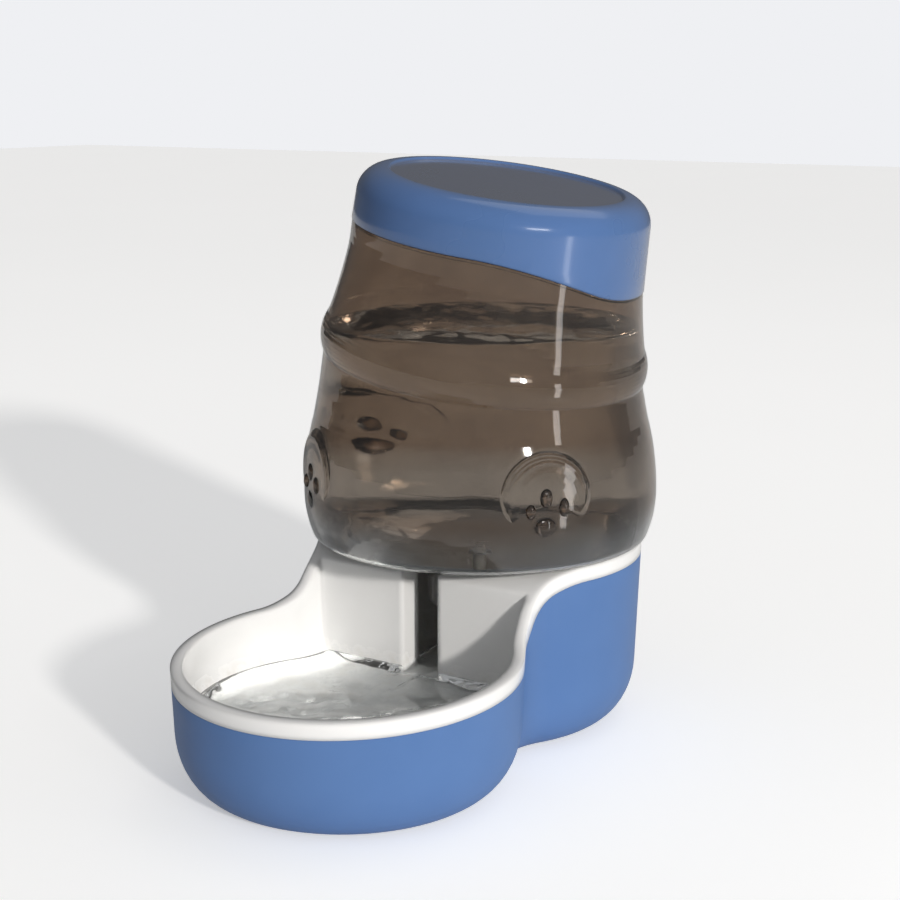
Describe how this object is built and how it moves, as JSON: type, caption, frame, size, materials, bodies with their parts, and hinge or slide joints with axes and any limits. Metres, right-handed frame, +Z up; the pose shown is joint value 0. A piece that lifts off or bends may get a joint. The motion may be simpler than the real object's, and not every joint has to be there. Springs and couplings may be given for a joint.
{
  "type": "gravity pet waterer",
  "caption": "Gravity pet waterer: two-lobed base with a lift-out bowl liner, leaning clear bottle standing neck down on it, spring valve in the screw cap, slanted top cap.",
  "frame": {"origin": "on the floor plane, under the middle of the whole object's box, at the level of the feet's undersides", "axes": "+Z up, -Y towards the drinking bowl, +Y towards the bottle, +X to the right of someone looking from behind the bottle"},
  "size_m": [0.19, 0.3056, 0.3002],
  "materials": {
    "shell_plastic": "satin injection-moulded, blue",
    "liner_plastic": "smooth injection-moulded, white",
    "clear_bottle": "clear blown plastic",
    "cap_plastic": "satin injection-moulded, blue",
    "valve_plastic": "injection-moulded, white",
    "black_rubber": "matt moulded",
    "grey_silicone": "matt moulded",
    "spring_steel": "drawn stainless wire"
  },
  "bodies": {
    "base": {"base_shell": "shell_plastic", "foot_front_left": "black_rubber", "foot_front_right": "black_rubber", "foot_rear_left": "black_rubber", "foot_rear_right": "black_rubber"},
    "liner": {"bowl_liner": "liner_plastic"},
    "bottle_body": {"bottle": "clear_bottle", "valve_cage": "valve_plastic", "valve_spring": "spring_steel"},
    "top_cap_body": {"top_cap": "cap_plastic"},
    "gasket_body": {"neck_gasket": "grey_silicone"},
    "screw_cap": {"valve_cap": "valve_plastic"},
    "plunger": {"valve_plunger": "valve_plastic", "plunger_seal": "grey_silicone", "stem_clip": "spring_steel"}
  },
  "joints": [
    {"name": "liner_lift", "type": "slide", "parent": "base", "child": "liner", "axis": [0, 0, 1], "range_m": [0, 0.08]},
    {"name": "bottle_lift", "type": "slide", "parent": "liner", "child": "bottle_body", "axis": [0, 0, 1], "range_m": [0, 0.072]},
    {"name": "cap_pull", "type": "slide", "parent": "bottle_body", "child": "top_cap_body", "axis": [0.1617, -0.0227, 0.9866], "range_m": [0, 0.05]},
    {"name": "gasket_slide", "type": "slide", "parent": "bottle_body", "child": "gasket_body", "axis": [0, 0, -1], "range_m": [0, 0.0046]},
    {"name": "screw_cap_turn", "type": "hinge", "parent": "gasket_body", "child": "screw_cap", "pos_m": [0, 0.05785, 0.066], "axis": [0, 0, -1], "range_deg": [0, 540]},
    {"name": "plunger_slide", "type": "slide", "parent": "bottle_body", "child": "plunger", "axis": [0, 0, 1], "range_m": [-0.0062, 0], "stiffness_N_per_m": 200, "springref_m": -0.012, "deforming": ["valve_spring"]}
  ],
  "couplings": [
    {"joint": "gasket_slide", "follows": "screw_cap_turn", "m_per_rad": 0.00047746},
    {"joint": "plunger_slide", "follows": "bottle_lift", "ratio": -0.083333}
  ]
}
